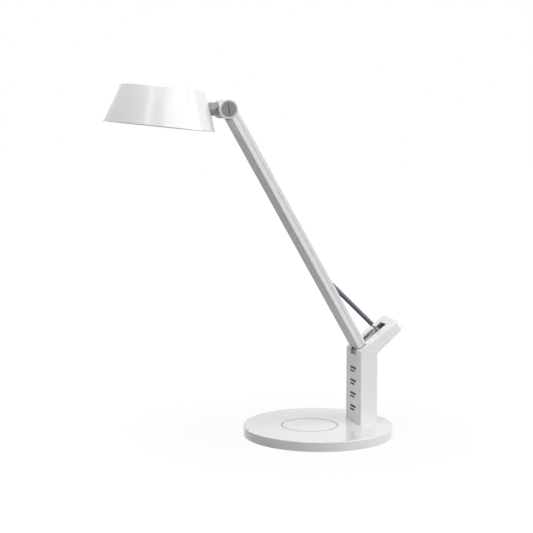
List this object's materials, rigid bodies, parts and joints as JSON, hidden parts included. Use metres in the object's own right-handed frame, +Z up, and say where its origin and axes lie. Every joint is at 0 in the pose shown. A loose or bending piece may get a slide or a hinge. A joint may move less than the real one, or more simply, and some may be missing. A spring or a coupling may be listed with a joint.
{
  "type": "desk lamp",
  "caption": "Desk lamp with a round wireless charging base, slanted column, leaning arm with telescopic strut, and a tilting, turning tapered shade.",
  "frame": {"origin": "centre of the foam mat's underside, on the table", "axes": "+Z up, -Y is the front, towards which the arm leans and the keys face, +X to the right seen from behind"},
  "size_m": [0.2, 0.4035, 0.466],
  "materials": {
    "white_plastic": "high gloss white",
    "white_metal": "white powder coat on aluminium",
    "satin_silver": "satin silver grey",
    "steel": "plain steel",
    "rod_chrome": "polished rod",
    "tube_grey": "satin blue grey",
    "key_dark": "dark gloss",
    "window_dark": "smoked",
    "grey_plastic": "matt grey",
    "dark_plastic": "matt black",
    "grey_rubber": "soft grey ring",
    "foot_foam": "matt foam",
    "circuit_board": "solder mask",
    "copper": "enamelled wire",
    "ferrite": "matt",
    "opal": "opal diffuser",
    "light_chip": "phosphor",
    "cable_white": "matt sheath"
  },
  "bodies": {
    "lamp_base": {"base_cover": "white_plastic", "charging_ring": "grey_rubber", "charging_coil": "copper", "coil_ferrite": "ferrite", "charger_board": "circuit_board", "ballast_disc": "steel", "base_plate": "dark_plastic", "foot_mat": "foot_foam", "power_inlet": "dark_plastic", "base_screws": "steel", "column_shell": "white_plastic", "column_front": "white_plastic", "column_screws": "steel", "hinge_frame": "steel", "frame_bolts": "steel", "control_board": "circuit_board", "board_screws": "steel", "key_switches": "dark_plastic", "light_windows": "window_dark", "arm_pivot_pin": "rod_chrome", "arm_pivot_nut": "steel", "friction_discs": "dark_plastic", "strut_lower_pin": "rod_chrome", "strut_spacers": "rod_chrome"},
    "power_key": {"power_key": "key_dark"},
    "mode_key": {"mode_key": "key_dark"},
    "brighter_key": {"brighter_key": "key_dark"},
    "dimmer_key": {"dimmer_key": "key_dark"},
    "arm": {"arm_profile": "white_metal", "arm_tongue": "grey_plastic", "pivot_bush": "opal", "arm_fork": "satin_silver", "strut_anchor": "grey_plastic", "strut_upper_pin": "rod_chrome", "arm_screws": "steel", "arm_cable": "cable_white", "tilt_screw": "satin_silver", "tilt_nut": "satin_silver", "tilt_washers": "dark_plastic"},
    "strut_outer": {"strut_tube": "tube_grey", "strut_tube_eye": "steel", "strut_gland": "satin_silver"},
    "strut_inner": {"strut_rod": "rod_chrome", "strut_rod_eye": "steel", "strut_piston": "dark_plastic"},
    "knuckle_body": {"knuckle": "satin_silver"},
    "head": {"neck": "satin_silver", "swivel_clip": "steel", "neck_gasket": "grey_plastic", "neck_screws": "steel", "shade": "white_plastic", "heat_sink": "satin_silver", "led_board": "circuit_board", "led_chips": "light_chip", "reflector_ring": "white_plastic", "diffuser": "opal", "diffuser_ring": "white_plastic", "driver_board": "circuit_board", "shade_screws": "steel"}
  },
  "joints": [
    {"name": "arm_hinge", "type": "hinge", "parent": "lamp_base", "child": "arm", "pos_m": [0, 0.06, 0.105], "axis": [1, 0, 0], "range_deg": [-4, 45]},
    {"name": "strut_hinge", "type": "hinge", "parent": "arm", "child": "strut_outer", "pos_m": [0, -0.00304, 0.22218], "axis": [1, 0, 0], "range_deg": [-4.2, 0.6]},
    {"name": "strut_slide", "type": "slide", "parent": "strut_outer", "child": "strut_inner", "axis": [0, 0.7192, -0.6948], "range_m": [-0.0028, 0.0298]},
    {"name": "head_tilt", "type": "hinge", "parent": "arm", "child": "knuckle_body", "pos_m": [0, -0.1295, 0.43322], "axis": [1, 0, 0], "range_deg": [-60, 45]},
    {"name": "head_roll", "type": "hinge", "parent": "knuckle_body", "child": "head", "pos_m": [0, -0.1295, 0.43322], "axis": [0, 1, 0], "range_deg": [-90, 90]},
    {"name": "power_key_press", "type": "slide", "parent": "lamp_base", "child": "power_key", "axis": [0, 1, 0], "range_m": [0, 0.0005], "stiffness_N_per_m": 600, "springref_m": -0.0004},
    {"name": "mode_key_press", "type": "slide", "parent": "lamp_base", "child": "mode_key", "axis": [0, 1, 0], "range_m": [0, 0.0005], "stiffness_N_per_m": 600, "springref_m": -0.0004},
    {"name": "brighter_key_press", "type": "slide", "parent": "lamp_base", "child": "brighter_key", "axis": [0, 1, 0], "range_m": [0, 0.0005], "stiffness_N_per_m": 600, "springref_m": -0.0004},
    {"name": "dimmer_key_press", "type": "slide", "parent": "lamp_base", "child": "dimmer_key", "axis": [0, 1, 0], "range_m": [0, 0.0005], "stiffness_N_per_m": 600, "springref_m": -0.0004}
  ],
  "couplings": [
    {"joint": "strut_hinge", "follows": "arm_hinge", "ratio": -0.0887},
    {"joint": "strut_slide", "follows": "arm_hinge", "m_per_rad": 0.03764}
  ]
}
